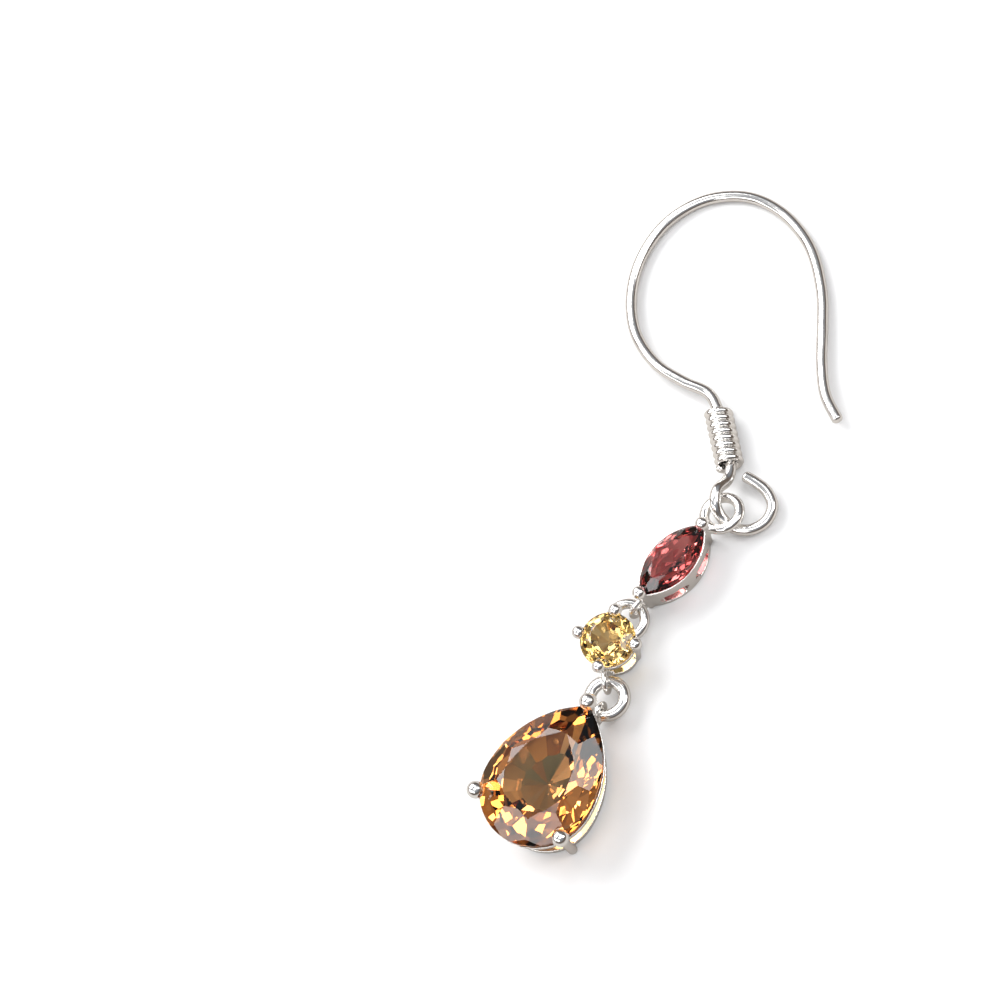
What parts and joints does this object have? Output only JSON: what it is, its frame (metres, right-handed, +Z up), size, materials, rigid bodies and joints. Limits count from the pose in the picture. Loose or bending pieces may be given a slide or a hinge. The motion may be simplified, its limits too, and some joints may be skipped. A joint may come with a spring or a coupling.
{
  "type": "drop earring",
  "caption": "Fish-hook drop earring with a coil-wrapped shank and linked prong settings holding a marquise, a round and a pear-shaped stone.",
  "frame": {"origin": "middle of the earring's outline, on the surface it lies on", "axes": "+Y along the chain from the pear drop to the top of the ear wire, +Z up through the faces of the stones"},
  "size_m": [0.0176, 0.0492, 0.0051],
  "materials": {
    "silver": "high polish",
    "red_stone": "polished facets",
    "yellow_stone": "polished facets",
    "amber_stone": "polished facets"
  },
  "bodies": {
    "root": {"ear_hook": "silver", "coil_wrap": "silver", "marquise_setting": "silver", "marquise_stone": "red_stone", "link_ring_upper": "silver", "round_setting": "silver", "round_stone": "yellow_stone", "link_ring_lower": "silver", "pear_setting": "silver", "pear_stone": "amber_stone"}
  },
  "joints": []
}
